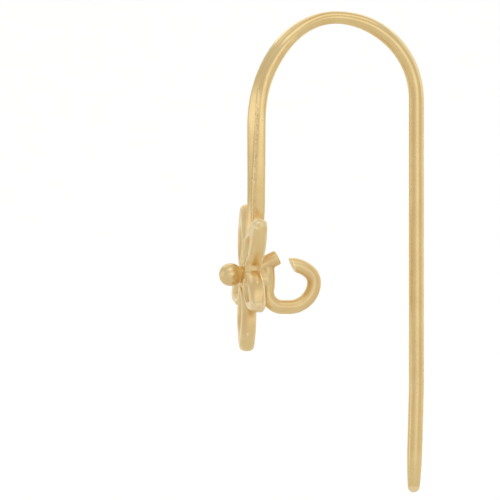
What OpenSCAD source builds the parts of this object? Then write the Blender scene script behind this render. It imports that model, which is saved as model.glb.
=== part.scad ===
// Ear wire of the French hook kind, cast and soldered in one metal.
// The hook lies in the YZ plane, its flower faces -Y and its plain leg hangs behind at +Y.
// The origin is the underside of the arch at its highest point, where the ear carries it.
// All sizes are in millimetres.

/* [Hook wire] */
// Diameter of the round wire of the leg and the rear half of the arch
wire_d = 0.84; // [0.7:0.02:1]
// Diameter of the wire at the top of the arch, where it is forged thinner
neck_d = 0.7; // [0.6:0.02:0.8]
// Radius of the rear half of the arch, to the middle of the wire
rear_reach = 4.38; // [3.4:0.02:5.4]
// Distance forward from the top of the arch to the stem's axis
front_reach = 4.4; // [3.6:0.1:5.4]
// Height over which the front half of the arch comes down
front_fall = 5.9; // [4.4:0.1:7]
// Depth of the leg's tip below the underside of the arch
leg_drop = 25.2; // [20:0.2:32]
// Length of the leg's lower part, which is sprung slightly forward
sprung_length = 5.6; // [4:0.2:10]
// Lean of the leg's lower part, in degrees
sprung_lean = 1.6; // [0:0.2:3]
// Length of the taper above the leg's tip
taper_length = 2.2; // [1:0.1:3]
// Diameter of the leg's dressed tip
tip_d = 0.68; // [0.5:0.02:0.7]

/* [Stem] */
// Greatest width of the forged stem
stem_w = 1.37; // [1.1:0.01:1.7]
// Greatest thickness of the forged stem, from front to back
stem_t = 0.95; // [0.8:0.05:1.2]

/* [Flower] */
// Depth of the flower's centre below the underside of the arch
flower_drop = 13.45; // [12:0.05:16]
// Distance from the stem's axis forward to the middle of the flower's thickness
flower_forward = 0.44; // [0.3:0.02:0.6]
// Distance that the flower sits to the side of the hook's plane
flower_aside = 0.1; // [0:0.05:0.3]
// Length of the longest petal from the flower's centre
petal_length = 4.2; // [3.6:0.1:5]
// Width of a petal
petal_w = 1.9; // [1.7:0.02:2.2]
// Thickness of a petal from its back to its ridge
petal_t = 0.8; // [0.6:0.05:1]
// Height of the bevels on each side of a petal's ridge
bevel_t = 0.28; // [0.16:0.02:0.4]
// Width of the opening in a petal
opening_w = 0.76; // [0.5:0.02:0.9]
// Length of the opening in a petal
opening_length = 1.76; // [1.4:0.02:2]
// Diameter of the hub that joins the petals
hub_d = 2.5; // [2:0.1:2.8]
// Diameter of the bead in the flower's centre
bead_d = 1.24; // [0.9:0.02:1.5]
// Depth to which the bead is sunk in its solder
bead_sunk = 0.08; // [0.04:0.02:0.2]
// Diameter of the solder collar under the bead, where it meets the hub
collar_d = 1.7; // [1.4:0.05:2]
// Height of the solder collar above the hub
collar_t = 0.16; // [0.1:0.02:0.3]

/* [Loop] */
// Diameter of the loop's wire
loop_wire_d = 0.76; // [0.66:0.02:0.8]
// Radius of the loop's round part, to the middle of its wire
loop_r = 1.36; // [1.26:0.02:1.46]
// Radius of the bend that pinches the loop in, to the middle of its wire
pinched_r = 0.74; // [0.6:0.02:0.9]
// Radius of the loop's nearly straight end, to the middle of its wire
end_r = 1.46; // [1.3:0.02:1.7]
// Length of the loop's straight run between its round part and its corner
loop_run = 0.38; // [0.2:0.02:0.6]
// Radius of the loop's corner at the flower's back, to the middle of its wire
loop_corner_r = 0.82; // [0.6:0.02:0.9]
// Depth of the middle of the loop's round part below the flower's centre
loop_drop = 0.38; // [0.3:0.02:0.6]
// Tilt of the loop's sawn face from upright, in degrees
saw_tilt = 25; // [10:1:35]
// Greatest diameter of the barrel that stands between the loop and the stub
barrel_d = 0.86; // [0.76:0.02:1]
// Distance from the flower's back to the barrel's axis
barrel_behind = 0.66; // [0.5:0.02:0.9]
// Diameter of the solder seat between the flower and the barrel
seat_d = 1; // [0.8:0.05:1.2]
// Diameter of the stub
stub_d = 0.82; // [0.66:0.02:0.84]
// Length of the stub from the flower's back to its sawn face
stub_length = 1.38; // [1.1:0.02:1.5]
// Upward slant of the stub, in degrees
stub_slant = 27; // [10:1:30]
// Height at which the stub leaves the flower's back, above the flower's centre
stub_rise = 0.3; // [0.1:0.02:0.4]

/* [Hidden] */
$fn = 96;
gold = [0.87, 0.72, 0.45];

// Depth to which pieces reach into each other. Where two lengths of wire meet, one is thinner by
// the seam and its end lies inside the other.
overlap = 0.04;
seam = 0.03;

// Middle of the wire: at the top of the arch, where its rear half ends, and where the leg is sprung
arch_top = neck_d / 2;
arch_end = arch_top - rear_reach;
sprung_top = sprung_length - leg_drop;

// Angle of the rear half, from the top, that is forged
forged_back_angle = 36;

// Flower's back face and front of its hub, along the flower's own axis and in the hook's frame
petal_wall = petal_t - bevel_t;
hub_front = petal_wall + bevel_t / 3;
flower_back = petal_t / 2 - front_reach - flower_forward;

// Petals: direction in degrees, length as a share of petal_length, sideways shift as a share of
// petal_w, backward lean in degrees, middle of the opening as a share of petal_length,
// sideways shift of the opening as a share of petal_w
DIRECTION_COLUMN = 0;
LENGTH_COLUMN = 1;
SHIFT_COLUMN = 2;
LEAN_COLUMN = 3;
OPENING_COLUMN = 4;
OPENING_SHIFT_COLUMN = 5;
PETALS = [
    [111.8, 0.99, 0.18, 4.4, 0.43, -0.01],
    [42.0, 0.98, 0.04, 3.2, 0.42, 0.03],
    [-26.0, 0.95, 0.03, 0.4, 0.47, -0.03],
    [-80.1, 0.98, -0.16, -1.4, 0.46, 0.00],
    [192.8, 0.94, 0.15, 1.8, 0.43, 0.04]
];
// Place of a petal's greatest width, and where its two outlines would meet past the blunted tip,
// as shares of the petal's length
widest_share = 0.53;
outlines_meet_share = 1.03;
// Radius to which a petal's tip is tumbled at its back
tumbled = 0.2;
// Width of the collar's head, as a share of the bead's diameter
collar_head_share = 0.7;

// Angles round the loop, from straight back: where it starts to be pinched in, where its end starts,
// and the middle of its sawn face
pinch_angle = -5;
end_angle = 45;
saw_angle = 89;

// Forged sweep, by station. Stations run 0 to 1 from the top of the arch to the start of the straight
// stem, then 1 to 2 down to the flower's centre. Width and thickness are shares of stem_w and stem_t.
// The forged share goes from 0, the round neck, to 1, the full flattened size. The forward offset
// is a share of flower_forward.
STATION_COLUMN = 0;
WIDTH_COLUMN = 1;
THICKNESS_COLUMN = 2;
FORGED_COLUMN = 3;
FORWARD_COLUMN = 4;
SWEEP = [
    [0.00, 0.97, 0.95, 0.00, 0.0],
    [0.10, 0.97, 0.95, 0.03, 0.0],
    [0.20, 0.97, 0.95, 0.20, 0.0],
    [0.30, 0.97, 0.92, 0.52, 0.0],
    [0.40, 0.97, 0.94, 0.84, 0.0],
    [0.48, 0.97, 0.97, 1.00, 0.0],
    [0.56, 0.96, 0.99, 1.00, 0.0],
    [0.66, 0.89, 1.00, 1.00, 0.0],
    [0.76, 0.87, 1.00, 1.00, 0.0],
    [0.88, 0.94, 1.00, 1.00, 0.0],
    [1.02, 1.00, 1.00, 1.00, 0.0],
    [1.16, 0.98, 0.99, 1.00, 0.0],
    [1.34, 0.89, 0.98, 1.00, 0.0],
    [1.50, 0.74, 0.98, 1.00, 0.0],
    [1.60, 0.64, 1.00, 1.00, 0.02],
    [1.70, 0.56, 0.98, 1.00, 0.16],
    [1.80, 0.46, 0.84, 1.00, 0.48],
    [1.90, 0.40, 0.70, 1.00, 0.80],
    [1.97, 0.38, 0.60, 1.00, 0.96]
];
ring_count_per_row = 2;
ring_count_behind = 6;
// Facets are full from this forged share on
faceted_from_share = 0.3;

// Forged section, seen along the wire: share of the half width, share of the half thickness.
// It runs from the middle of the front crown round to the middle of the back, and is mirrored.
SECTION = [
    [0.00, 1.00],
    [0.34, 0.97],
    [0.66, 0.62],
    [0.90, 0.26],
    [1.00, -0.08],
    [0.97, -0.42],
    [0.84, -0.70],
    [0.60, -0.88],
    [0.30, -0.97],
    [0.00, -1.00]
];
half_count = len(SECTION) - 1;

function mix(a, b, share) = a + (b - a) * share;

// Value in a column of the sweep's table at a station, on straight lines between its rows
function swept(column, station) = lookup(station, [for (row = SWEEP) [row[STATION_COLUMN], row[column]]]);

// Station of the seam with the round wire, just inside its cut end
seam_station = -(forged_back_angle + 1) / 90;

// Height of the straight stem, from the foot of the arch to the flower's centre
stem_fall = flower_drop - front_fall + arch_top;

// Middle of the wire at a station, as places along Y and Z
function hook_axis(station) =
    station < 0 ?
        [rear_reach * sin(-90 * station), arch_top - rear_reach * (1 - cos(90 * station))] :
    station < 1 ?
        [-front_reach * sin(90 * station), arch_top - front_fall * (1 - cos(90 * station))] :
        [-front_reach - flower_forward * swept(FORWARD_COLUMN, station),
            arch_top - front_fall - stem_fall * (station - 1)];

// Direction of the wire at a station, towards the flower, over a short nudge to each side
nudge_share = 0.01;
function hook_heading(station) =
    let (step = hook_axis(station + nudge_share) - hook_axis(station - nudge_share))
    step / norm(step);

// Size of the wire at a station: from the seam to the neck, then from the neck to the flattened stem
function wire_size(flattened, column, station) =
    station < 0 ? mix(neck_d, wire_d - 2 * seam, station / seam_station) :
    mix(neck_d, flattened * swept(column, station), swept(FORGED_COLUMN, station));

// Place on the forged section at one of its sides, and on a round one
function forged_side(side) =
    side <= half_count ? SECTION[side] :
    let (twin = SECTION[2 * half_count - side]) [-twin[0], twin[1]];
function round_side(side) = [sin(180 * side / half_count), cos(180 * side / half_count)];

// One ring of points round the wire at a station
function wire_ring(station) =
    let (
        middle = hook_axis(station),
        heading = hook_heading(station),
        outward = [heading[1], -heading[0]],
        half_w = wire_size(stem_w, WIDTH_COLUMN, station) / 2,
        half_t = wire_size(stem_t, THICKNESS_COLUMN, station) / 2,
        faceted = station < 0 ? 0 : min(1, swept(FORGED_COLUMN, station) / faceted_from_share)
    )
    [for (side = [0 : 2 * half_count - 1])
        let (
            share = mix(round_side(side), forged_side(side), faceted),
            place = middle + outward * share[1] * half_t
        )
        [share[0] * half_w, place[0], place[1]]
    ];

// Closed skin through rings of equal count
module skin(rings) {
    count = len(rings[0]);
    last = len(rings) - 1;
    polyhedron(
        points = [for (ring = rings) each ring],
        faces = [
            [for (side = [0 : count - 1]) count - 1 - side],
            for (ring = [0 : last - 1], side = [0 : count - 1])
                let (
                    next = (side + 1) % count,
                    here = ring * count,
                    there = here + count
                )
                each [
                    [here + side, there + next, there + side],
                    [here + side, here + next, there + next]
                ],
            [for (side = [0 : count - 1]) last * count + side]
        ]
    );
}

// Forged wire from the seam behind the top, over the arch and down to the flower
module stem() {
    stations = [
        for (part = [0 : ring_count_behind - 1])
            seam_station * (1 - part / ring_count_behind),
        for (row = [0 : len(SWEEP) - 2], part = [0 : ring_count_per_row - 1])
            mix(SWEEP[row][STATION_COLUMN], SWEEP[row + 1][STATION_COLUMN], part / ring_count_per_row),
        SWEEP[len(SWEEP) - 1][STATION_COLUMN]
    ];
    skin([for (station = stations) wire_ring(station)]);
}

// Turn that carries a bend of a given radius into its neighbour by the overlap
function lap_turn(radius) = 180 * overlap / (PI * radius);

// Unit step in the XY plane at an angle from the X axis
function toward(angle) = [cos(angle), sin(angle), 0];

// Length of round wire bent in the XY plane about the origin, from a start angle through a turn
module bend(radius, start, turn, d) {
    rotate([0, 0, start])
        rotate_extrude(angle = turn)
            translate([radius, 0])
                circle(d = d);
}

// Round wire: the rear of the arch and the leg
module round_wire() {
    lap = lap_turn(rear_reach);
    translate([0, 0, arch_end])
        rotate([90, 0, 90])
            bend(rear_reach, -lap, 90 - forged_back_angle + lap, wire_d - seam);
    translate([0, rear_reach, sprung_top])
        cylinder(d = wire_d, h = arch_end - sprung_top);
    translate([0, rear_reach, sprung_top])
        rotate([-sprung_lean, 0, 0])
            sprung_end();
}

// Lower end of the leg, one tapered rod with a rounded tip, hanging from the origin
module sprung_end() {
    rod_r = (wire_d - seam) / 2;
    tip_r = tip_d / 2;
    rotate_extrude()
        polygon([
            [0, overlap],
            [rod_r, overlap],
            [rod_r, taper_length - sprung_length],
            for (turn = [0 : 15 : 75])
                [tip_r * cos(turn), tip_r * (1 - sin(turn)) - sprung_length],
            [0, -sprung_length]
        ]);
}

// Disc with a bevelled rim: a positive bevel narrows its front and a negative one flares it
module bevelled_disc(radius, foot, bevel, front, worn = 0) {
    rotate_extrude()
        polygon([
            [0, foot],
            [radius - worn, foot],
            [radius, foot + worn],
            [radius, petal_wall],
            [radius - bevel, petal_t],
            [radius - bevel, front],
            [0, front]
        ]);
}

// Two bevelled discs that cross in an almond of a given length and width along X
module almond(length, width, foot, bevel, front) {
    radius = (length * length + width * width) / (4 * width);
    intersection() {
        translate([0, radius - width / 2, 0])
            bevelled_disc(radius, foot, bevel, front);
        translate([0, width / 2 - radius, 0])
            bevelled_disc(radius, foot, bevel, front);
    }
}

// One pierced petal along +X, its back on the XY plane
module petal(row) {
    length = petal_length * row[LENGTH_COLUMN];
    bevel = (petal_w - opening_w) / 4;
    difference() {
        intersection() {
            translate([length * widest_share, 0, 0])
                almond(2 * length * (outlines_meet_share - widest_share), petal_w, 0, bevel, petal_t);
            bevelled_disc(length, -overlap, bevel, petal_t + overlap, tumbled + overlap);
        }
        translate([petal_length * row[OPENING_COLUMN], petal_w * row[OPENING_SHIFT_COLUMN], 0])
            almond(opening_length, opening_w, -petal_t, -bevel, 2 * petal_t);
    }
}

// Flower in its own frame: petals spread in XY and their fronts look along +Z
module flower() {
    for (row = PETALS)
        rotate([0, 0, row[DIRECTION_COLUMN]])
            translate([0, row[SHIFT_COLUMN] * petal_w, 0])
                rotate([0, row[LEAN_COLUMN], 0])
                    petal(row);
    translate([0, 0, -overlap])
        cylinder(d = hub_d, h = hub_front + overlap);
    translate([0, 0, hub_front])
        cylinder(d1 = collar_d, d2 = bead_d * collar_head_share, h = collar_t);
    translate([0, 0, hub_front + collar_t + bead_d / 2 - bead_sunk])
        sphere(d = bead_d);
}

// Open loop in its own plane, around the middle of its round part: X runs back towards the leg, Y up
module loop() {
    pinch_start = pinch_angle - lap_turn(pinched_r);
    pinch_end = end_angle + lap_turn(pinched_r);
    bend(loop_r, -90, 90 + pinch_angle, loop_wire_d);
    translate((loop_r - pinched_r) * toward(pinch_angle)) {
        bend(pinched_r, pinch_start, pinch_end - pinch_start, loop_wire_d - seam);
        translate((pinched_r - end_r) * toward(end_angle))
            difference() {
                bend(end_r, end_angle, saw_angle + saw_tilt - end_angle, loop_wire_d);
                translate(end_r * toward(saw_angle))
                    rotate([0, 0, saw_tilt])
                        translate([-loop_r, 0, 0])
                            cube(2 * loop_r, center = true);
            }
    }
    translate([-loop_run - overlap, -loop_r, 0])
        rotate([0, 90, 0])
            cylinder(d = loop_wire_d - seam, h = loop_run + 2 * overlap);
    translate([-loop_run, loop_corner_r - loop_r, 0])
        bend(loop_corner_r, 180, 90, loop_wire_d);
}

// Barrel of a given height, swollen in the middle. Its foot reaches down into the loop's corner.
module barrel(height) {
    swell = (barrel_d - loop_wire_d) / 2;
    rotate_extrude()
        polygon([
            [0, -overlap],
            [(loop_wire_d - seam) / 2, -overlap],
            for (turn = [22.5 : 22.5 : 180])
                [loop_wire_d / 2 + swell * sin(turn), height * turn / 180],
            [0, height]
        ]);
}

// Everything behind the flower: loop, barrel, stub, and the solder seat that holds them
module loop_and_stub() {
    loop_z = -flower_drop - loop_drop;
    barrel_y = flower_back + barrel_behind;
    barrel_foot = loop_z - loop_r + loop_corner_r;
    stub_z = -flower_drop + stub_rise;
    barrel_head = stub_z + barrel_behind * tan(stub_slant) - stub_d / 4;
    translate([0, barrel_y + loop_corner_r + loop_run, loop_z])
        rotate([90, 0, 90])
            loop();
    translate([0, barrel_y, barrel_foot])
        barrel(barrel_head - barrel_foot);
    translate([0, flower_back - overlap, (barrel_foot + barrel_head) / 2])
        rotate([-90, 0, 0])
            cylinder(d = seat_d, h = barrel_behind + overlap);
    stub_root = petal_wall / 2;
    translate([0, flower_back, stub_z])
        rotate([stub_slant - 90, 0, 0])
            translate([0, 0, -stub_root])
                cylinder(d = stub_d, h = stub_root + stub_length);
}

module ear_wire() {
    color(gold) {
        round_wire();
        stem();
        translate([-flower_aside, flower_back, -flower_drop])
            rotate([90, 0, 0])
                flower();
        loop_and_stub();
    }
}

ear_wire();
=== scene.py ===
import math
import random

import bmesh
import bpy
import numpy as np
from mathutils import Matrix, Vector, bvhtree, noise


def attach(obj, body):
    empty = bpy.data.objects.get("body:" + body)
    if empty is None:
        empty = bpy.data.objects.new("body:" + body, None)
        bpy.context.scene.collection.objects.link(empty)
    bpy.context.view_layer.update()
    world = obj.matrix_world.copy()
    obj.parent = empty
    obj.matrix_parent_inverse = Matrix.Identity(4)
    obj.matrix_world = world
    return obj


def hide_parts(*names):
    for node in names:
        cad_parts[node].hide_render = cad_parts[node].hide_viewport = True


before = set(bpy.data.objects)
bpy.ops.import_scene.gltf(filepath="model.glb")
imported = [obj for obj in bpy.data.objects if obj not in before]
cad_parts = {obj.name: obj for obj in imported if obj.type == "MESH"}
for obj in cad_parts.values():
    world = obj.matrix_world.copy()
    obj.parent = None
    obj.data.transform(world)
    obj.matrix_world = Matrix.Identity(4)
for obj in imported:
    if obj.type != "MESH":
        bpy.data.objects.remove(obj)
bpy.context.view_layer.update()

MM = 0.001

# The photograph's line of sight, in degrees round from the flower's front
CAMERA_AZIMUTH = 80.5
sight = math.radians(CAMERA_AZIMUTH)
to_right = Vector((math.cos(sight), math.sin(sight), 0))
to_camera = Vector((math.sin(sight), -math.cos(sight), 0))

# Hook wire
WIRE_D = 0.84
NECK_D = 0.70
REAR_REACH = 4.38
FRONT_REACH = 4.40
FRONT_FALL = 5.90
LEG_DROP = 25.20
SPRUNG_LENGTH = 5.60
SPRUNG_LEAN = 1.6
TAPER_LENGTH = 2.2
TIP_D = 0.68
# Degrees of the rear arch over which the neck thickens to the full wire
NECK_RUN = 36

# Stem
STEM_W = 1.37
STEM_T = 0.95

# Flower
FLOWER_DROP = 13.45
FLOWER_FORWARD = 0.44
FLOWER_ASIDE = 0.10
PETAL_LENGTH = 4.20
PETAL_W = 1.90
PETAL_T = 0.80
BEVEL_T = 0.28
OPENING_W = 0.76
OPENING_LENGTH = 1.76
HUB_D = 2.50
BEAD_D = 1.24
BEAD_SUNK = 0.08
COLLAR_D = 1.70
COLLAR_T = 0.16

# Loop and stub
LOOP_WIRE_D = 0.76
LOOP_R = 1.36
PINCHED_R = 0.74
END_R = 1.46
PINCH_ANGLE = -5
END_ANGLE = 45
SAW_ANGLE = 89
LOOP_RUN = 0.38
LOOP_CORNER_R = 0.82
LOOP_DROP = 0.38
SAW_TILT = 25
BARREL_D = 0.86
BARREL_BEHIND = 0.66
SEAT_D = 1.00
STUB_D = 0.82
STUB_LENGTH = 1.38
STUB_SLANT = 27
STUB_RISE = 0.30

# The loop's wire starts this far over its first bend. Its free end is parted from the rest
# this far down and back before it is sawn, since the saw's plane crosses the rest too
LOOP_STARTS = 0.3
FREE_END_FALL = 0.9
FREE_END_RUN = 1.4

# Turned pieces meet their axis at this radius. The ends of fused pieces are buried this far in
# their neighbours, and the barrel's foot is this much thinner than the wire that it stands on
AXIS_R = 0.01
COLLAR_BURIED = 0.1
SEAT_BURIED = 0.2
STUB_BURIED = 0.3
BARREL_BURIED = 0.04
BARREL_SHY = 0.01

# Solder drawn from the stem's foot down to the hub as a row of balls.
# Columns: reach over the flower's middle, height over its back, radius
SOLDER_BALLS = 9
SOLDER_FIRST = (1.75, 0.30, 0.36)
SOLDER_STEP = (-0.12, 0.02, -0.012)

# Solder crumbs round the bead, each range from least to most
CRUMBS = 22
CRUMB_REACH = (0.5, 0.86)
CRUMB_LIFT = (0.02, 0.12)
CRUMB_R = (0.07, 0.13)

# Solder behind the flower: how far the seat's foot spreads, the heights of that foot's edge and
# its top, and the lump between the seat and the barrel, by half its size
SEAT_SPREAD = 0.14
SEAT_EDGE_T = 0.06
SEAT_FOOT_T = 0.20
FILL_HALF = (0.46, 0.50, 0.66)
FILL_RISE = 0.08
SAWN_EDGE = 0.02

ARCH_TOP = NECK_D / 2
ARCH_END = ARCH_TOP - REAR_REACH
SPRUNG_TOP = SPRUNG_LENGTH - LEG_DROP
STEM_FALL = FLOWER_DROP - FRONT_FALL + ARCH_TOP
PETAL_WALL = PETAL_T - BEVEL_T
HUB_FRONT = PETAL_WALL + BEVEL_T / 3
FLOWER_BACK = PETAL_T / 2 - FRONT_REACH - FLOWER_FORWARD
LOOP_Z = -FLOWER_DROP - LOOP_DROP
BARREL_Y = FLOWER_BACK + BARREL_BEHIND
CORNER_Y = BARREL_Y + LOOP_CORNER_R
CORNER_Z = LOOP_Z - LOOP_R + LOOP_CORNER_R
LOOP_Y = CORNER_Y + LOOP_RUN
STUB_Z = -FLOWER_DROP + STUB_RISE
BARREL_TOP = STUB_Z + BARREL_BEHIND * math.tan(math.radians(STUB_SLANT)) - STUB_D / 4
SEAT_Z = (CORNER_Z + BARREL_TOP) / 2

# Petals. Columns: direction, length share, sideways shift share, backward lean, opening's place
# share, opening's sideways shift share
PETALS = [
    (111.8, 0.99, 0.18, 4.4, 0.43, -0.01),
    (42.0, 0.98, 0.04, 3.2, 0.42, 0.03),
    (-26.0, 0.95, 0.03, 0.4, 0.47, -0.03),
    (-80.1, 0.98, -0.16, -1.4, 0.46, 0.00),
    (192.8, 0.94, 0.15, 1.8, 0.43, 0.04),
]
# Where a petal is widest, and where its two long arcs would meet, as shares of its length
WIDEST_AT = 0.53
OUTLINES_MEET = 1.03
# Tumbling's wear on a petal: the back edge's radius, how much it gains at the tip, the tip's
# front radius, and where along the petal the tip's wear starts and how far it takes to be full
BACK_EDGE_R = 0.10
TIP_WEAR = 0.18
TIP_FRONT_R = 0.34
TIP_STARTS = 0.78
TIP_BLENDS = 0.20
# The front edge rolls over from this far below the wall's top, and bulges this far above it
ROLL_BELOW = 0.16
ROLL_ABOVE = 0.12
OPENING_EDGE_R = 0.06

# Solder between the petals, with its foot and its wall this high over the flower's back.
# Columns: direction, reach, half its spread in degrees, height
WEB_FOOT = 0.06
WEB_WALL = 0.20
WEBS = [
    (8, 1.98, 19, 0.74),
    (-53, 1.75, 10, 0.60),
    (-126, 1.50, 13, 0.60),
    (154, 1.30, 12, 0.60),
    (74, 2.30, 10, 0.56),
]

# Stations run along the hook: -1 at the leg's top, 0 on top of the arch, 1 at the stem's top and
# 2 behind the bead. Forged sweep by station, with the places of its other columns: shares of the
# stem's width and thickness, how far it is forged, and how far it has come forward to the flower
WIDTH, THICKNESS, FORGED, FORWARD = 1, 2, 3, 4
SWEEP = np.array([
    (0.00, 0.97, 0.95, 0.00, 0.00),
    (0.10, 0.97, 0.95, 0.03, 0.00),
    (0.20, 0.97, 0.95, 0.20, 0.00),
    (0.30, 0.97, 0.92, 0.52, 0.00),
    (0.40, 0.97, 0.94, 0.84, 0.00),
    (0.48, 0.97, 0.97, 1.00, 0.00),
    (0.56, 0.96, 0.99, 1.00, 0.00),
    (0.66, 0.89, 1.00, 1.00, 0.00),
    (0.76, 0.87, 1.00, 1.00, 0.00),
    (0.88, 0.94, 1.00, 1.00, 0.00),
    (1.02, 1.00, 1.00, 1.00, 0.00),
    (1.16, 0.98, 0.99, 1.00, 0.00),
    (1.34, 0.89, 0.98, 1.00, 0.00),
    (1.50, 0.74, 0.98, 1.00, 0.00),
    (1.60, 0.64, 1.00, 1.00, 0.02),
    (1.70, 0.56, 0.98, 1.00, 0.16),
    (1.80, 0.46, 0.84, 1.00, 0.48),
    (1.90, 0.40, 0.70, 1.00, 0.80),
    (1.97, 0.38, 0.60, 1.00, 0.96),
])
# How far along the sweep its corners are eased, to each side
PLANISHED = 0.07
# Height of the arris on the forged section, as a share of the half thickness, by station
ARRIS = np.array([
    (0.00, 0.10),
    (0.79, 0.19),
    (1.19, 0.35),
    (1.46, 0.50),
    (2.00, 0.50),
])
# How far the section has gone from round to the forged outline, by station
FACETED = np.array([
    (0.10, 0.00),
    (0.35, 0.35),
    (0.70, 0.35),
    (0.95, 1.00),
])
# Rings of the hook. They stand close from a station down the front of the arch, for the nips
CLOSE_FROM = 0.7
ARCH_RINGS = 60
STEM_RINGS = 290
FOOT_RINGS = 50
# The hook wire ends, and the stem's foot starts, a little thinner inside the other one
WIRE_THINS, WIRE_ENDS = 1.68, 1.76
FOOT_STARTS, FOOT_FULL, FOOT_ENDS = 1.62, 1.72, 1.97
TUCKED = 0.94
# Heights of the leg's rings over its tip, close together where it rounds off and tapers.
# The last two are a first height, an end and a step
TIP_HEIGHTS = (0.002, 0.01, 0.03, 0.06, 0.1, 0.15, 0.2, 0.26, 0.33)
TAPER_HEIGHTS = (0.40, 1.39, 0.09)
LEG_HEIGHTS = (1.4, LEG_DROP + ARCH_END - 0.05, 0.2)

# Marks of the maker's tools on the side that faces the camera, each with its start and its end
# as places across and up, its width, and its height, which is negative for a dent
ARRIS_LINE = [
    (-4.200, -3.60), (-4.285, -4.89), (-4.395, -7.04), (-4.475, -8.38), (-4.505, -9.56), (-4.52, -10.60),
]
ARRIS_MARK = (0.050, 0.034)
GROOVE_LINE = [(-4.250, -4.89), (-4.335, -7.04), (-4.395, -8.38), (-4.425, -9.56), (-4.43, -10.50)]
GROOVE_MARK = (0.07, -0.015)
ARCH_PATCH = [
    ((-2.50, -1.13), (-2.30, -0.93), 0.05, 0.010),
    ((-2.30, -0.93), (-2.10, -0.73), 0.06, 0.014),
]
FOOT_CREASE = [
    ((-4.40, -10.04), (-3.90, -10.56), 0.13, -0.018),
    ((-4.40, -10.24), (-4.05, -10.60), 0.13, -0.018),
    ((-4.36, -10.44), (-4.15, -10.66), 0.13, -0.018),
]
# Each casting pit has a raised lip beside it
CASTING_PITS = [
    ((-4.22, -10.82), (-4.20, -10.86), 0.07, -0.05),
    ((-4.33, -10.95), (-4.30, -11.00), 0.06, 0.035),
    ((-4.95, -16.76), (-4.93, -16.80), 0.07, -0.05),
    ((-4.78, -16.62), (-4.76, -16.66), 0.06, 0.035),
]
SOLDER_RUNS = [
    ((-4.40, -13.30), (-4.26, -13.85), 0.05, 0.036),
    ((-4.12, -13.35), (-3.90, -14.10), 0.05, 0.036),
]
# Nips that the dies left down the arris: how many, the first one's level, the step down, how far
# each strays across, and its length and width. Each is sunk or raised, by more or less
NIPS = 46
NIP_LEVEL = -4.6
NIP_STEP = 0.085
NIP_STRAYS = (0.01, 0.05)
NIP_SIZE = (0.02, 0.034)
NIP_HEIGHTS = (-0.024, 0.038)
NIP_VARIES = (0.6, 1.2)

# Marks are sighted from this far off, and the skin takes them where it faces the camera this much
SIGHTED_FROM = 20
FACING = 0.05

# Spots painted darker as shade, and more matt: middle, reach, and how much hollower they count
LEG_TIP = ((0, 4.22, -25.05), 0.45, 0.016)
STUB_ROOT = ((0, -3.59, -12.72), 0.6, 0.045)


# Small helpers

def eased(share):
    """Share from 0 to 1 with a gentle start and end."""
    return share * share * (3 - 2 * share)


def blend(first, second, share):
    return first + (second - first) * share


def read_off(table, station):
    return float(np.interp(station, table[:, 0], table[:, 1]))


# Meshes

def bench_mesh(points, faces):
    """Mesh in the making, from points and faces."""
    work = bmesh.new()
    made = [work.verts.new(p) for p in points]
    for face in faces:
        work.faces.new([made[k] for k in face])
    return work


def piece(name, points, faces):
    """Smooth mesh object from points and faces."""
    mesh = bpy.data.meshes.new(name)
    work = bench_mesh(points, faces)
    bmesh.ops.recalc_face_normals(work, faces=work.faces)
    work.to_mesh(mesh)
    work.free()
    return shown(name, mesh)


def shown(name, mesh):
    """Object of a mesh, shaded smooth and linked to the scene."""
    mesh.polygons.foreach_set("use_smooth", [True] * len(mesh.polygons))
    thing = bpy.data.objects.new(name, mesh)
    bpy.context.scene.collection.objects.link(thing)
    return thing


def loft(rings):
    """Points and faces of a closed skin through rings of equal count."""
    count = len(rings[0])
    points = [p for ring in rings for p in ring]
    faces = [list(range(count))[::-1]]
    for row in range(len(rings) - 1):
        here = row * count
        for side in range(count):
            after = (side + 1) % count
            faces.append([here + side, here + after, here + count + after, here + count + side])
    faces.append([(len(rings) - 1) * count + side for side in range(count)])
    return points, faces


def merged(parts):
    """One list of points and faces from several."""
    points, faces = [], []
    for more_points, more_faces in parts:
        start = len(points)
        points += [tuple(p) for p in more_points]
        faces += [[start + k for k in face] for face in more_faces]
    return points, faces


def moved(part, matrix):
    points, faces = part
    return [tuple(matrix @ Vector(p)) for p in points], faces


def lathe(profile, sides=48):
    """Closed solid of revolution about Z from radius and height pairs, bottom to top."""
    turns = [2 * math.pi * side / sides for side in range(sides)]
    return loft([[(radius * math.cos(t), radius * math.sin(t), height) for t in turns]
                 for radius, height in profile])


def ball(centre, radius, sides):
    rows = [math.pi * (row + 0.5) / (sides // 2) - math.pi / 2 for row in range(sides // 2)]
    part = lathe([(radius * math.cos(t), radius * math.sin(t)) for t in rows], sides)
    return moved(part, Matrix.Translation(centre))


# Hook wire: leg, arch and forged stem, swept along one line

def swept(column, station):
    """One column of the forged sweep, eased over its corners as planishing eases them."""
    nearby = station + np.linspace(-PLANISHED, PLANISHED, 7)
    return float(np.mean(np.interp(nearby, SWEEP[:, 0], SWEEP[:, column])))


def hook_axis(station):
    """Middle of the hook at a station."""
    if station < -1:
        return Vector((0, REAR_REACH, ARCH_END + (station + 1)))
    turn = abs(station) * math.pi / 2
    if station < 0:
        return Vector((0, REAR_REACH * math.sin(turn), ARCH_TOP - REAR_REACH * (1 - math.cos(turn))))
    if station < 1:
        return Vector((0, -FRONT_REACH * math.sin(turn), ARCH_TOP - FRONT_FALL * (1 - math.cos(turn))))
    forward = FLOWER_FORWARD * swept(FORWARD, station)
    return Vector((0, -FRONT_REACH - forward, ARCH_TOP - FRONT_FALL - STEM_FALL * (station - 1)))


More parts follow.
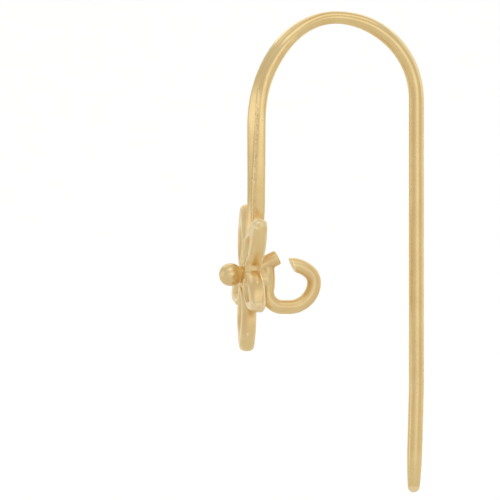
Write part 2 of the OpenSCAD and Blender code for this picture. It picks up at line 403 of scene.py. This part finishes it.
def rounded(outline, times):
    """Closed outline with its corners cut, as many times as asked."""
    for _ in range(times):
        cut = []
        for here, after in zip(outline, outline[1:] + outline[:1]):
            cut.append((0.75 * here[0] + 0.25 * after[0], 0.75 * here[1] + 0.25 * after[1]))
            cut.append((0.25 * here[0] + 0.75 * after[0], 0.25 * here[1] + 0.75 * after[1]))
        outline = cut
    return outline


def forged_section(arris):
    """Outline of the forged section, as shares of its half width and half thickness: a soft
    front ridge, two flat bevels down to the arris, a slightly bellied side and a rounded back."""
    half = [
        (0.00, 1.00),
        (0.14, 0.98),
        (0.84, arris + 0.06),
        (0.90, arris),
        (0.93, arris - 0.10),
        (0.985, arris - 0.42),
        (1.00, -0.26),
        (1.00, -0.54),
        (0.98, -0.80),
        (0.91, -0.95),
        (0.62, -0.99),
        (0.25, -1.00),
        (0.00, -1.00),
    ]
    return rounded(half + [(-x, y) for x, y in half[-2:0:-1]], 2)


SIDES = len(forged_section(0.5))
ROUND = []
for side in range(SIDES):
    turn = 2 * math.pi * (side + 0.5) / SIDES
    ROUND.append((math.sin(turn), math.cos(turn)))


def hook_ring(station, fullness):
    """Section of the hook, round behind the arch's top and forged in front of it. Fullness is
    its share of the full size."""
    middle = hook_axis(station)
    heading = (hook_axis(station + 0.01) - hook_axis(station - 0.01)).normalized()
    outward = Vector((0, heading.z, -heading.y))
    if station < 0:
        half_w = half_t = blend(NECK_D, WIRE_D, eased(min(1, -station * 90 / NECK_RUN))) / 2
    else:
        forged = swept(FORGED, station)
        half_w = blend(NECK_D, STEM_W * swept(WIDTH, station), forged) / 2
        half_t = blend(NECK_D, STEM_T * swept(THICKNESS, station), forged) / 2
    faceted = read_off(FACETED, station)
    outline = forged_section(read_off(ARRIS, station))
    ring = []
    for (fx, fy), (rx, ry) in zip(outline, ROUND):
        across = blend(rx, fx, faceted) * half_w * fullness
        through = blend(ry, fy, faceted) * half_t * fullness
        ring.append(middle + outward * through + Vector((across, 0, 0)))
    return ring


def leg_ring(height):
    """Section of the leg at a height over its tip, where the lower part is sprung and tapered."""
    tip_r = TIP_D / 2
    wire_r = WIRE_D / 2
    if height < tip_r:
        radius = tip_r * math.sqrt(1 - (1 - height / tip_r) ** 2)
    elif height < TAPER_LENGTH:
        grown = (height - tip_r) / (TAPER_LENGTH - tip_r)
        radius = blend(tip_r, wire_r, math.sin(math.pi / 2 * grown))
    else:
        radius = wire_r
    lean = math.radians(SPRUNG_LEAN)
    below = max(0.0, SPRUNG_LENGTH - height)
    middle = Vector((0, REAR_REACH - below * math.sin(lean), SPRUNG_TOP - below * math.cos(lean)))
    if height > SPRUNG_LENGTH:
        middle = Vector((0, REAR_REACH, height - LEG_DROP))
    return [middle + Vector((rx * radius, ry * radius, 0)) for rx, ry in ROUND]


def hook_wire():
    """Leg from its tip up, then the arch and the stem, until it ends inside the stem's foot."""
    heights = [*TIP_HEIGHTS, *np.arange(*TAPER_HEIGHTS), *np.arange(*LEG_HEIGHTS)]
    rings = [leg_ring(height) for height in heights]
    rear_arch = np.linspace(-1, 0, ARCH_RINGS)[:-1]
    front_arch = np.linspace(0, CLOSE_FROM, ARCH_RINGS)[:-1]
    stem = np.linspace(CLOSE_FROM, WIRE_ENDS, STEM_RINGS)
    for station in np.concatenate([rear_arch, front_arch, stem]):
        fullness = float(np.interp(station, (WIRE_THINS, WIRE_ENDS), (1, TUCKED)))
        rings.append(hook_ring(float(station), fullness))
    return loft(rings)


def stem_foot():
    """Lower end of the stem, which grows out of the hook wire and runs into the flower."""
    rings = []
    for station in np.linspace(FOOT_STARTS, FOOT_ENDS, FOOT_RINGS):
        fullness = float(np.interp(station, (FOOT_STARTS, FOOT_FULL), (TUCKED, 1)))
        rings.append(hook_ring(float(station), fullness))
    return loft(rings)


# Flower and bead, in the flower's own frame, where fronts look along +Z

def half_width(x, length, width):
    """Half the width of an almond of two arcs at a distance from its middle."""
    radius = (length * length + width * width) / (4 * width)
    return math.sqrt(max(0.0, radius * radius - x * x)) - (radius - width / 2)


def petal_outline(turn, length):
    """Point on a petal's outline: an almond whose tip is a small arc that meets both long ones."""
    middle = length * WIDEST_AT
    span = length * (OUTLINES_MEET - WIDEST_AT)
    along = math.cos(turn)
    sign = 1 if math.sin(turn) >= 0 else -1
    radius = (4 * span * span + PETAL_W * PETAL_W) / (4 * PETAL_W)
    sunk = radius - PETAL_W / 2
    reach = length - middle
    tip_r = (radius ** 2 - sunk ** 2 - reach ** 2) / (2 * (radius - reach))
    tip_x = length - tip_r
    meets = math.atan2(sunk, tip_x - middle)
    meets_x = tip_x + tip_r * math.cos(meets)
    x = middle + span * along
    if x < meets_x:
        return x, sign * half_width(span * along, 2 * span, PETAL_W)
    swing = meets * (middle + span - x) / (middle + span - meets_x)
    return tip_x + tip_r * math.cos(swing), sign * tip_r * math.sin(swing)


def opening_outline(turn, row):
    """Point on the outline of a petal's opening."""
    opening, opening_shift = row[4:]
    along = math.cos(turn)
    sign = 1 if math.sin(turn) >= 0 else -1
    x = PETAL_LENGTH * opening + along * OPENING_LENGTH / 2
    y = sign * half_width(along * OPENING_LENGTH / 2, OPENING_LENGTH, OPENING_W)
    return x, y + PETAL_W * opening_shift


def petal_section(outer, inner, tip):
    """Section of a petal between its outline and its opening, from the back round the outer
    edge and over the front. Tip is 1 where tumbling has worn the petal's tip round."""
    band = inner - outer
    inward = band.normalized()
    rim = min((PETAL_W - OPENING_W) / 4, band.length / 2)
    back_r = BACK_EDGE_R + TIP_WEAR * tip
    section = [(outer + inward * min(back_r, rim * 0.95), 0.0)]
    for quarter in (60, 30, 0):
        t = math.radians(quarter)
        section.append((outer + inward * min(back_r, rim) * (1 - math.cos(t)), back_r * (1 - math.sin(t))))
    for share in (0, 0.15, 0.3, 0.45, 0.6, 0.75, 0.9, 1):
        t = math.pi / 2 * share
        roll = 2 * share * (1 - share)
        draw = blend(0.05 * roll + share * share, 1 - math.cos(t), tip)
        rise = (PETAL_WALL - ROLL_BELOW) * (1 - share) ** 2 + (PETAL_WALL + ROLL_ABOVE) * roll
        rise = blend(rise + PETAL_T * share ** 2, PETAL_T - TIP_FRONT_R * (1 - math.sin(t)), tip)
        section.append((outer + inward * rim * draw, rise))
    section += [
        (inner - inward * rim * 0.95, PETAL_T),
        (inner - inward * rim * 0.5, PETAL_T - BEVEL_T * 0.35),
        (inner, PETAL_WALL),
        (inner, OPENING_EDGE_R),
        (inner - inward * min(OPENING_EDGE_R, rim * 0.3), 0.0),
    ]
    return [(place.x, place.y, height) for place, height in section]


def petal(row, sides=120):
    """Pierced almond petal with tumbled edges, from its row of the table."""
    direction, length_share, shift, lean = row[:4]
    length = PETAL_LENGTH * length_share
    rings = []
    for side in range(sides):
        turn = 2 * math.pi * side / sides
        outer = petal_outline(turn, length)
        inner = opening_outline(turn, row)
        tip = eased(max(0.0, min(1.0, (outer[0] / length - TIP_STARTS) / TIP_BLENDS)))
        rings.append(petal_section(Vector(outer), Vector(inner), tip))
    count = len(rings[0])
    points = [p for ring in rings for p in ring]
    faces = []
    for side in range(sides):
        here, there = side * count, (side + 1) % sides * count
        for k in range(count):
            after = (k + 1) % count
            faces.append([here + k, there + k, there + after, here + after])
    place = (
        Matrix.Rotation(math.radians(direction), 4, "Z")
        @ Matrix.Translation((0, shift * PETAL_W, 0))
        @ Matrix.Rotation(math.radians(lean), 4, "Y")
    )
    return moved((points, faces), place)


def web(direction, reach, spread, top):
    """Wedge of solder, hollowed like a valley, that fills the notch between two petals."""
    rings = []
    for height, share in ((WEB_FOOT, 0.88), (WEB_WALL, 1.0), (top * 0.7, 0.97), (top, 0.72)):
        ring = [(0.0, 0.0, height)]
        for side, draw in ((-1, 1.0), (-0.5, 0.93), (0, 0.90), (0.5, 0.93), (1, 1.0)):
            t = math.radians(direction + side * spread)
            length = reach * share * draw / math.cos(math.radians(side * spread))
            ring.append((length * math.cos(t), length * math.sin(t), height))
        rings.append(ring)
    return loft(rings)


def hub():
    radius = HUB_D / 2
    return lathe([
        (AXIS_R, 0), (radius, 0), (radius, HUB_FRONT * 0.8), (radius * 0.9, HUB_FRONT), (AXIS_R, HUB_FRONT),
    ])


def collar():
    """Cone of solder that the bead sits in."""
    base = HUB_FRONT - COLLAR_BURIED
    top = HUB_FRONT + COLLAR_T + COLLAR_BURIED
    return lathe([
        (AXIS_R, base), (COLLAR_D / 2, base), (COLLAR_D / 2, HUB_FRONT), (BEAD_D * 0.35, top), (AXIS_R, top),
    ])


def bead():
    return ball((0, 0, HUB_FRONT + COLLAR_T + BEAD_D / 2 - BEAD_SUNK), BEAD_D / 2, 64)


def foot_solder():
    """Solder that carries the stem's foot down onto the hub."""
    balls = []
    for k in range(SOLDER_BALLS):
        reach, height, radius = (first + step * k for first, step in zip(SOLDER_FIRST, SOLDER_STEP))
        balls.append(ball((FLOWER_ASIDE, reach, height), radius, 24))
    return balls


def solder_crumbs():
    """Crumbs of solder left round the bead."""
    crumbs = random.Random(7)
    balls = []
    for _ in range(CRUMBS):
        turn = crumbs.uniform(0, 2 * math.pi)
        reach = crumbs.uniform(*CRUMB_REACH)
        centre = (reach * math.cos(turn), reach * math.sin(turn), HUB_FRONT + crumbs.uniform(*CRUMB_LIFT))
        balls.append(ball(centre, crumbs.uniform(*CRUMB_R), 12))
    return balls


def flower():
    petals = [petal(row) for row in PETALS]
    webs = [web(*row) for row in WEBS]
    return merged([*petals, hub(), *webs, collar(), bead(), *foot_solder(), *solder_crumbs()])


# Loop and stub behind the flower

def arc(centre_y, centre_z, radius, start, end, count):
    """Points on an arc in the hook's plane, between two angles in degrees."""
    turns = [math.radians(start + (end - start) * k / (count - 1)) for k in range(count)]
    return [Vector((0, centre_y + radius * math.cos(t), centre_z + radius * math.sin(t))) for t in turns]


def wire_along(line, radius, sides=32):
    """Closed tube along points in the hook's plane."""
    rings = []
    for k, middle in enumerate(line):
        heading = (line[min(k + 1, len(line) - 1)] - line[max(k - 1, 0)]).normalized()
        across = Vector((1, 0, 0))
        outward = heading.cross(across).normalized()
        ring = []
        for side in range(sides):
            turn = 2 * math.pi * side / sides
            ring.append(middle + across * radius * math.cos(turn) + outward * radius * math.sin(turn))
        rings.append(ring)
    return loft(rings)


def cut_flat(part, point, normal):
    """The side of a closed part that its normal points to, with a flat face where it was sawn."""
    work = bench_mesh(*part)
    whole = work.verts[:] + work.edges[:] + work.faces[:]
    bmesh.ops.bisect_plane(
        work, geom=whole, plane_co=point, plane_no=normal, clear_inner=True, dist=1e-5
    )
    rim = [edge for edge in work.edges if edge.is_boundary]
    bmesh.ops.holes_fill(work, edges=rim, sides=0)
    work.verts.index_update()
    points = [tuple(v.co) for v in work.verts]
    faces = [[v.index for v in face.verts] for face in work.faces]
    work.free()
    return points, faces


def loop():
    """Open ring of round wire, bent tighter on its far side, with its free end sawn off at a tilt."""
    pinch_turn = math.radians(PINCH_ANGLE)
    end_turn = math.radians(END_ANGLE)
    saw_turn = math.radians(SAW_ANGLE)
    tilt = math.radians(SAW_TILT)
    pinched_y = LOOP_Y + (LOOP_R - PINCHED_R) * math.cos(pinch_turn)
    pinched_z = LOOP_Z + (LOOP_R - PINCHED_R) * math.sin(pinch_turn)
    end_y = pinched_y + (PINCHED_R - END_R) * math.cos(end_turn)
    end_z = pinched_z + (PINCHED_R - END_R) * math.sin(end_turn)
    line = [Vector((0, BARREL_Y, CORNER_Z + LOOP_STARTS))]
    line += arc(CORNER_Y, CORNER_Z, LOOP_CORNER_R, 180, 270, 24)
    line += arc(LOOP_Y, LOOP_Z, LOOP_R, -90, PINCH_ANGLE, 40)
    line += arc(pinched_y, pinched_z, PINCHED_R, PINCH_ANGLE, END_ANGLE, 20)[1:]
    line += arc(end_y, end_z, END_R, END_ANGLE, SAW_ANGLE + SAW_TILT, 30)[1:]
    ring = wire_along(line, LOOP_WIRE_D / 2)
    parted = Vector((0, 0, line[-1].z - FREE_END_FALL))
    keep = cut_flat(ring, parted, Vector((0, 0, -1)))
    free_end = cut_flat(ring, parted, Vector((0, 0, 1)))
    saw_point = Vector((0, end_y + END_R * math.cos(saw_turn), end_z + END_R * math.sin(saw_turn)))
    free_end = cut_flat(free_end, Vector((0, saw_point.y - FREE_END_RUN, 0)), Vector((0, 1, 0)))
    free_end = cut_flat(free_end, saw_point, Vector((0, math.cos(tilt), math.sin(tilt))))
    return merged([keep, free_end])


def barrel():
    """Swollen upright where the loop's wire stands behind the flower, from its corner to the stub."""
    wire_r = LOOP_WIRE_D / 2
    swell = (BARREL_D - LOOP_WIRE_D) / 2
    height = BARREL_TOP - CORNER_Z
    profile = [(AXIS_R, -BARREL_BURIED), (wire_r - BARREL_SHY, -BARREL_BURIED)]
    for k in range(1, 13):
        profile.append((wire_r + swell * math.sin(math.pi * k / 12), height * k / 12))
    profile.append((AXIS_R, height))
    return moved(lathe(profile), Matrix.Translation((0, BARREL_Y, CORNER_Z)))


def seat():
    """Round seat of solder between the flower's back and the barrel."""
    lay_back = Matrix.Rotation(math.radians(-90), 4, "X")
    seat_r = SEAT_D / 2
    part = lathe([
        (AXIS_R, -SEAT_BURIED), (seat_r + SEAT_SPREAD, -SEAT_BURIED), (seat_r + SEAT_SPREAD, SEAT_EDGE_T),
        (seat_r, SEAT_FOOT_T), (seat_r, BARREL_BEHIND), (AXIS_R, BARREL_BEHIND),
    ])
    return moved(part, Matrix.Translation((0, FLOWER_BACK, SEAT_Z)) @ lay_back)


def solder_fill():
    """Lump of solder that fills the corner between the seat and the barrel."""
    middle = (0, (FLOWER_BACK + BARREL_Y) / 2, SEAT_Z + FILL_RISE)
    return moved(ball((0, 0, 0), 1.0, 40), Matrix.Translation(middle) @ Matrix.Diagonal((*FILL_HALF, 1)))


def stub():
    """Sawn-off end on the other side of the loop's cut."""
    stub_r = STUB_D / 2
    turned = Matrix.Rotation(math.radians(STUB_SLANT) - math.pi / 2, 4, "X")
    part = lathe([
        (AXIS_R, -STUB_BURIED), (stub_r, -STUB_BURIED), (stub_r, STUB_LENGTH - SAWN_EDGE),
        (stub_r - SAWN_EDGE, STUB_LENGTH), (AXIS_R, STUB_LENGTH),
    ])
    return moved(part, Matrix.Translation((0, FLOWER_BACK, STUB_Z)) @ turned)


# Finishing of the metal

def fused(name, part, voxel, passes):
    """Parts melted into one skin, as solder and casting melt them, with soft inside corners."""
    rough = piece(name + "_rough", *part)
    remesh = rough.modifiers.new("fuse", "REMESH")
    remesh.mode = "VOXEL"
    remesh.voxel_size = voxel
    remesh.use_smooth_shade = True
    smooth = rough.modifiers.new("tumble", "SMOOTH")
    smooth.factor = 0.5
    smooth.iterations = passes
    reached = bpy.context.evaluated_depsgraph_get()
    mesh = bpy.data.meshes.new_from_object(rough.evaluated_get(reached))
    mesh.name = name
    bpy.data.objects.remove(rough)
    return shown(name, mesh)


def read(thing):
    """Vertex places and normals of a thing as arrays."""
    mesh = thing.data
    count = len(mesh.vertices)
    places = np.empty(count * 3, dtype=np.float32)
    normals = np.empty(count * 3, dtype=np.float32)
    mesh.vertices.foreach_get("co", places)
    mesh.vertex_normals.foreach_get("vector", normals)
    return places.reshape(count, 3), normals.reshape(count, 3)


def write(thing, places):
    thing.data.vertices.foreach_set("co", places.astype(np.float32).ravel())
    thing.data.update()


def hand_finished(thing, swell, depth, wave):
    """Skin brought back to size after tumbling, with the low waves that filing leaves: how far
    it swells, the waves' depth and their width. Each wave carries closer ones, half as deep."""
    places, normals = read(thing)
    waves = []
    for place in places:
        at = Vector(place) / wave
        waves.append(noise.noise(at) + 0.5 * noise.noise(at * 2.7))
    write(thing, places + normals * (swell + depth * np.array(waves)[:, None]))


def marks_along(line, width, height):
    return [(start, end, width, height) for start, end in zip(line, line[1:])]


def nips():
    """Marks down the arris, where the metal was caught between the forging dies."""
    chatter = random.Random(11)
    falls = [-level for _, level in ARRIS_LINE]
    places = [across for across, _ in ARRIS_LINE]
    length, width = NIP_SIZE
    marks = []
    for k in range(NIPS):
        level = NIP_LEVEL - NIP_STEP * k
        across = float(np.interp(-level, falls, places)) + chatter.uniform(*NIP_STRAYS)
        height = chatter.choice(NIP_HEIGHTS) * chatter.uniform(*NIP_VARIES)
        marks.append(((across, level), (across, level - length), width, height))
    return marks


def worked(thing, marks):
    """Dents and ridges on the side that the camera sees, each a soft bump along its line."""
    places, normals = read(thing)
    mesh = thing.data
    skin = bvhtree.BVHTree.FromPolygons(
        [Vector(p) for p in places], [list(face.vertices) for face in mesh.polygons]
    )
    facing = normals @ np.array(to_camera) > FACING
    lift = np.zeros(len(places))
    for start, end, width, height in marks:
        steps = max(2, int(math.dist(start, end) / (width / 3)))
        nearest = np.full(len(places), np.inf)
        for k in range(steps + 1):
            across = blend(start[0], end[0], k / steps)
            level = blend(start[1], end[1], k / steps)
            seen = to_right * across + Vector((0, 0, level))
            hit = skin.ray_cast(seen + to_camera * SIGHTED_FROM, -to_camera)[0]
            if hit is not None:
                nearest = np.minimum(nearest, np.linalg.norm(places - np.array(hit), axis=1))
        lift += np.where(facing, height * np.exp(-(nearest / width) ** 2), 0)
    write(thing, places + normals * lift[:, None])


def hollows(thing, rounds, painted_shade_spots):
    """Marks how hollow or how raised the skin is at each vertex, in millimetres: how far it
    would move if it were smoothed for some rounds. A spot given for painted shade counts as hollower."""
    mesh = thing.data
    places, normals = read(thing)
    edges = np.empty(len(mesh.edges) * 2, dtype=np.int32)
    mesh.edges.foreach_get("vertices", edges)
    edges = edges.reshape(-1, 2)
    here = np.concatenate([edges[:, 0], edges[:, 1]])
    there = np.concatenate([edges[:, 1], edges[:, 0]])
    count = np.maximum(np.bincount(here, minlength=len(places)), 1)
    soft = places.astype(np.float64)
    for _ in range(rounds):
        soft = np.stack(
            [np.bincount(here, weights=soft[there, k], minlength=len(places)) / count for k in range(3)],
            axis=1,
        )
    depth = ((soft - places) * normals).sum(axis=1)
    for middle, reach, more in painted_shade_spots:
        away = np.linalg.norm(places - np.array(middle), axis=1)
        depth += more * np.exp(-(away / reach) ** 2)
    mark = mesh.attributes.new("hollow", "FLOAT", "POINT")
    mark.data.foreach_set("value", depth.astype(np.float32))


def to_metres(thing):
    thing.data.transform(Matrix.Scale(MM, 4))
    thing.data.update()


# The wire is drawn in by a hair, so that its waves stay inside the solid that it dresses
wire_marks = marks_along(ARRIS_LINE, *ARRIS_MARK) + marks_along(GROOVE_LINE, *GROOVE_MARK)
wire_marks += ARCH_PATCH + FOOT_CREASE + nips()
wire = piece("hook_wire", *hook_wire())
hand_finished(wire, swell=-0.006, depth=0.004, wave=1.6)
worked(wire, wire_marks)
hollows(wire, rounds=16, painted_shade_spots=[LEG_TIP])
to_metres(wire)

# The flower turns to face forward, and is fused with what is soldered to its back
to_hook = (
    Matrix.Translation((-FLOWER_ASIDE, FLOWER_BACK, -FLOWER_DROP))
    @ Matrix.Rotation(math.radians(90), 4, "X")
)
casting = merged([moved(flower(), to_hook), loop(), barrel(), seat(), solder_fill(), stub(), stem_foot()])
head = fused("flower_and_loop", casting, voxel=0.04, passes=4)
hand_finished(head, swell=0.0, depth=0.008, wave=0.9)
worked(head, CASTING_PITS + SOLDER_RUNS)
hollows(head, rounds=12, painted_shade_spots=[STUB_ROOT])
to_metres(head)


# Finishes

def linear(hex_colour):
    """sRGB hex colour as linear red, green, blue and alpha."""
    values = []
    for k in (0, 2, 4):
        v = int(hex_colour[k:k + 2], 16) / 255
        values.append(v / 12.92 if v <= 0.04045 else ((v + 0.055) / 1.055) ** 2.4)
    return (*values, 1.0)


def emptied(owner):
    """Node tree of a material or a world, with nothing in it."""
    owner.use_nodes = True
    owner.node_tree.nodes.clear()
    return owner.node_tree


def add(tree, kind, settings=None, links=None):
    """One shader node with its settings, socket values and incoming links."""
    made = tree.nodes.new(kind)
    for name, value in (settings or {}).items():
        if isinstance(name, str) and hasattr(made, name):
            setattr(made, name, value)
        else:
            made.inputs[name].default_value = value
    for name, (source, socket) in (links or {}).items():
        tree.links.new(source.outputs[socket], made.inputs[name])
    return made


# The plate's thickness drifts over patches of about a millimetre. Tumbling grit leaves marks of
# about 0.02 mm, less than half a pixel, so they are drawn about ten times as wide to show
PATCH_MM = 1.3
GRIT_DEPTH_MM = 0.0012
# Darker gold painted into hollows, grooves and dents as shade
PAINTED_SHADE_GOLD = "D8AE7E"
# Roughness that hollows keep over the open skin's, and that burnishing takes off raised edges
HOLLOWS_KEEP = 0.14
BURNISHING_TAKES = 0.07


def plated(name, pale, warm, highlight_gold, grain_mm, worn, deep_at, burnished_and_highlit_at):
    """Thin pale gold over brass. Patches drift from pale to warm, as plate of uneven thickness
    does. Raised edges are burnished smoother and painted paler, a painted highlight, and hollows
    are more matt and painted deeper gold, a painted shade. Worn is the roughness of the open skin.
    Hollows start and are full at two depths in millimetres, and raised edges at two heights."""
    finish = bpy.data.materials.new(name)
    tree = emptied(finish)
    place = add(tree, "ShaderNodeTexCoord")
    patches = add(tree, "ShaderNodeTexNoise", {"Scale": 1 / (PATCH_MM * MM), "Detail": 3.0}, {
        "Vector": (place, "Object"),
    })
    grain = add(tree, "ShaderNodeTexNoise", {"Scale": 1 / (grain_mm * MM), "Detail": 4.0}, {
        "Vector": (place, "Object"),
    })
    hollow = add(tree, "ShaderNodeAttribute", {"attribute_name": "hollow"})
    deep = add(tree, "ShaderNodeMapRange", {"From Min": deep_at[0], "From Max": deep_at[1]}, {
        "Value": (hollow, "Fac"),
    })
    raised = add(tree, "ShaderNodeMapRange", {"From Min": -burnished_and_highlit_at[0], "From Max": -burnished_and_highlit_at[1]}, {
        "Value": (hollow, "Fac"),
    })
    drift = add(tree, "ShaderNodeMapRange", {"From Min": 0.35, "From Max": 0.65}, {
        "Value": (patches, "Fac"),
    })
    plate = add(tree, "ShaderNodeMix", {"data_type": "RGBA", 6: linear(pale), 7: linear(warm)}, {
        0: (drift, "Result"),
    })
    # Raised edges are mixed towards a paler gold: a painted highlight
    painted_edge_highlight = add(tree, "ShaderNodeMix", {"data_type": "RGBA", 7: linear(highlight_gold)}, {
        0: (raised, "Result"), 6: (plate, 2),
    })
    # Hollows are mixed towards a darker gold: painted shade
    tone = add(tree, "ShaderNodeMix", {"data_type": "RGBA", 7: linear(PAINTED_SHADE_GOLD)}, {
        0: (deep, "Result"), 6: (painted_edge_highlight, 2),
    })
    matt = add(tree, "ShaderNodeMapRange", {
        "From Min": 0.3, "From Max": 0.7, "To Min": worn - 0.03, "To Max": worn + 0.04,
    }, {"Value": (grain, "Fac")})
    deep_matt = add(tree, "ShaderNodeMath", {"operation": "MULTIPLY_ADD", 1: HOLLOWS_KEEP}, {
        0: (deep, "Result"), 2: (matt, "Result"),
    })
    burnished = add(tree, "ShaderNodeMath", {"operation": "MULTIPLY_ADD", 1: -BURNISHING_TAKES}, {
        0: (raised, "Result"), 2: (deep_matt, 0),
    })
    skin = add(tree, "ShaderNodeBump", {"Strength": 0.16, "Distance": GRIT_DEPTH_MM * MM}, {
        "Height": (grain, "Fac"),
    })
    metal = add(tree, "ShaderNodeBsdfPrincipled", {"Metallic": 1.0}, {
        "Base Color": (tone, 2), "Roughness": (burnished, 0), "Normal": (skin, "Normal"),
    })
    add(tree, "ShaderNodeOutputMaterial", {}, {"Surface": (metal, "BSDF")})
    return finish


# Drawing and forging press the wire's skin close, so under its plate it is a fine satin with long,
# calm highlights; the arris is rubbed smoother by fingers and cloth, and painted paler as a highlight line
forged_gold = plated(
    "drawn_and_forged_wire_gold_plated", pale="F2D69A", warm="EDCE92", highlight_gold="FBE3AF",
    grain_mm=0.24, worn=0.25, deep_at=(0.005, 0.036), burnished_and_highlit_at=(0.010, 0.022),
)
# Casting leaves the flower a little grainy, so its faces are duller than the wire. Tumbling
# smooths its petals' edges, painted pale as highlights; its matt notches are painted deeper gold as shade
cast_gold = plated(
    "cast_and_tumbled_flower_gold_plated", pale="F3D99E", warm="EECE94", highlight_gold="FFEBC0",
    grain_mm=0.20, worn=0.35, deep_at=(0.010, 0.060), burnished_and_highlit_at=(0.010, 0.024),
)
for thing, finish in ((wire, forged_gold), (head, cast_gold)):
    thing.data.materials.clear()
    thing.data.materials.append(finish)
    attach(thing, "root")
    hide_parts("ear_wire")


# Studio: the photograph's scale in millimetres a pixel, and the pixel where the frame's origin is
PHOTO_SCALE = 0.0537
ORIGIN_PX = (336.5, 24)
FRAME_PX = 500
LENS = 300
SENSOR = 36

aside = (FRAME_PX / 2 - ORIGIN_PX[0]) * PHOTO_SCALE * MM
below = (ORIGIN_PX[1] - FRAME_PX / 2) * PHOTO_SCALE * MM
aim = to_right * aside + Vector((0, 0, below))
distance = FRAME_PX * PHOTO_SCALE * MM * LENS / SENSOR

camera_data = bpy.data.cameras.new("camera")
camera_data.lens = LENS
camera_data.sensor_width = SENSOR
camera_data.clip_start = 0.01
camera_data.clip_end = 10
camera = bpy.data.objects.new("camera", camera_data)
camera.location = aim + to_camera * distance
camera.rotation_mode = "QUATERNION"
camera.rotation_quaternion = (-to_camera).to_track_quat("-Z", "Y")
bpy.context.scene.collection.objects.link(camera)
bpy.context.scene.camera = camera

# Floor and backdrop, one sheet in metres. Counted towards the camera are its front edge, a seam
# that keeps the floor's shading flat, and where it starts to bend up
FLOOR_Z = -0.034
FLOOR_FRONT = 0.3
FLOOR_SEAM = 0.1
BEND_STARTS = -0.25
BEND_R = 0.25
BEND_STEPS = 24
BACKDROP_TOP = 0.6
HALF_SPREAD = 0.7


def sweep_floor():
    """Floor that bends up behind the ear wire as seen from the camera."""
    profile = [(FLOOR_FRONT, FLOOR_Z), (FLOOR_SEAM, FLOOR_Z), (BEND_STARTS, FLOOR_Z)]
    for k in range(1, BEND_STEPS + 1):
        t = math.pi / 2 * k / BEND_STEPS
        profile.append((BEND_STARTS - BEND_R * math.sin(t), FLOOR_Z + BEND_R * (1 - math.cos(t))))
    profile.append((BEND_STARTS - BEND_R, BACKDROP_TOP))
    points, faces = [], []
    for reach, height in profile:
        for across in (-HALF_SPREAD, HALF_SPREAD):
            p = to_camera * reach + to_right * across
            points.append((p.x, p.y, height))
    for k in range(len(profile) - 1):
        faces.append([2 * k, 2 * k + 1, 2 * k + 3, 2 * k + 2])
    return points, faces


def white_paper():
    """Matt paper, rolled from pulp, which gives an even white with the faintest cloudiness. Its
    fibres, about 0.03 mm wide, are too fine to show, so their clouding is drawn 4 mm wide."""
    cloud_mm = 4
    paper = bpy.data.materials.new("rolled_white_paper")
    tree = emptied(paper)
    place = add(tree, "ShaderNodeTexCoord")
    fibres = add(tree, "ShaderNodeTexNoise", {"Scale": 1 / (cloud_mm * MM), "Detail": 3.0}, {
        "Vector": (place, "Object"),
    })
    tint = add(tree, "ShaderNodeMix", {"data_type": "RGBA", 6: linear("F6F6F5"), 7: linear("F1F1EF")}, {
        0: (fibres, "Fac"),
    })
    sheet = add(tree, "ShaderNodeBsdfPrincipled", {"Roughness": 0.9}, {"Base Color": (tint, 2)})
    add(tree, "ShaderNodeOutputMaterial", {}, {"Surface": (sheet, "BSDF")})
    return paper


floor = piece("floor", *sweep_floor())
floor.data.materials.append(white_paper())


def softbox(name, at, aim_at, width, height, power):
    """Rectangular soft light, seen only in what it lights."""
    lamp = bpy.data.lights.new(name, "AREA")
    lamp.shape = "RECTANGLE"
    lamp.size = width
    lamp.size_y = height
    lamp.energy = power
    light = bpy.data.objects.new(name, lamp)
    light.location = at
    light.rotation_mode = "QUATERNION"
    light.rotation_quaternion = (aim_at - at).to_track_quat("-Z", "Y")
    light.visible_camera = False
    bpy.context.scene.collection.objects.link(light)


# Middle of the ear wire, in metres, which the lights stand round
CENTRE = Vector((0, -1 * MM, -12.5 * MM))


def around(azimuth, elevation, reach):
    """Place round the ear wire's middle, with its azimuth counted to the camera's right."""
    a = math.radians(CAMERA_AZIMUTH + azimuth)
    e = math.radians(elevation)
    away = Vector((math.sin(a) * math.cos(e), -math.cos(a) * math.cos(e), math.sin(e)))
    return CENTRE + away * reach


# Where each box stands, what it lights, its width and height in metres and its power in watts
softbox("key", around(22, -1, 0.42), CENTRE, 0.26, 0.26, 0.050)
softbox("front_fill", around(6, 2, 0.44), CENTRE, 0.36, 0.30, 0.080)
softbox("right_card", around(112, 8, 0.42), CENTRE, 0.50, 0.60, 0.24)
softbox("left_card", around(-88, 5, 0.42), CENTRE, 0.17, 0.20, 0.055)
softbox("table_wash", around(8, 55, 0.36), around(8, -8, 0.20), 0.40, 0.20, 0.12)
softbox("backdrop_wash", around(180, 60, 0.20), around(180, 12, 0.45), 0.5, 0.15, 0.44)
softbox("floor_wash", around(180, 50, 0.40), around(180, -20, 0.30), 0.6, 0.2, 0.22)

world = bpy.data.worlds.new("studio")
tree = emptied(world)
sky = add(tree, "ShaderNodeBackground", {"Color": linear("FFFFFF"), "Strength": 0.66})
add(tree, "ShaderNodeOutputWorld", {}, {"Surface": (sky, "Background")})
bpy.context.scene.world = world
bpy.context.scene.view_settings.view_transform = "Standard"
